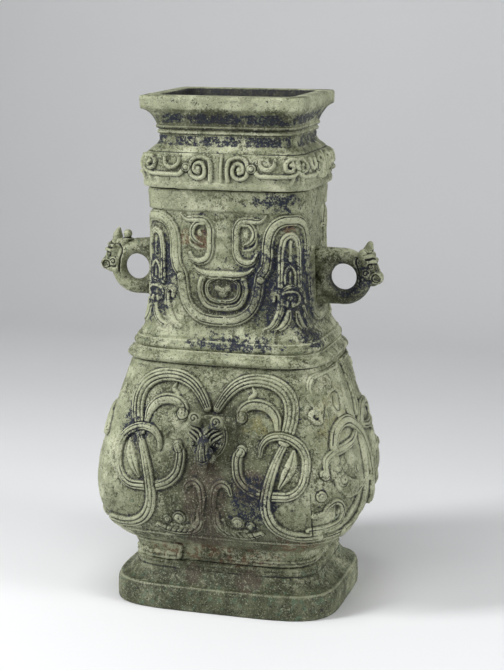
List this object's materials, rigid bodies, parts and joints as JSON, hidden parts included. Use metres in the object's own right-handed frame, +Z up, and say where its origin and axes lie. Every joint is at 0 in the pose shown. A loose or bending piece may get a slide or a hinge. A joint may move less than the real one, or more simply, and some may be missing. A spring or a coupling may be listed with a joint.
{
  "type": "square hu vessel",
  "caption": "Pot-bellied square bronze vessel on a ring foot, with serpent and wave relief, animal-headed loop handles, and a lift-off lid with a flared open crown.",
  "frame": {"origin": "centre of the footprint, on the surface the vessel stands on", "axes": "+Z up through the mouth, the front with the horned head looks along -Y, the loop handles stand on -X and +X"},
  "size_m": [0.3472, 0.2826, 0.6],
  "materials": {
    "vessel_bronze": "old cast tin bronze under a matt grey-green patina, darker blue-black in the hollows, with rust-orange and turquoise specks",
    "lid_bronze": "old cast tin bronze under a matt grey-green patina, blue-black inside the crown and under its lip"
  },
  "bodies": {
    "root": {"vessel": "vessel_bronze", "lid": "lid_bronze"}
  },
  "joints": []
}
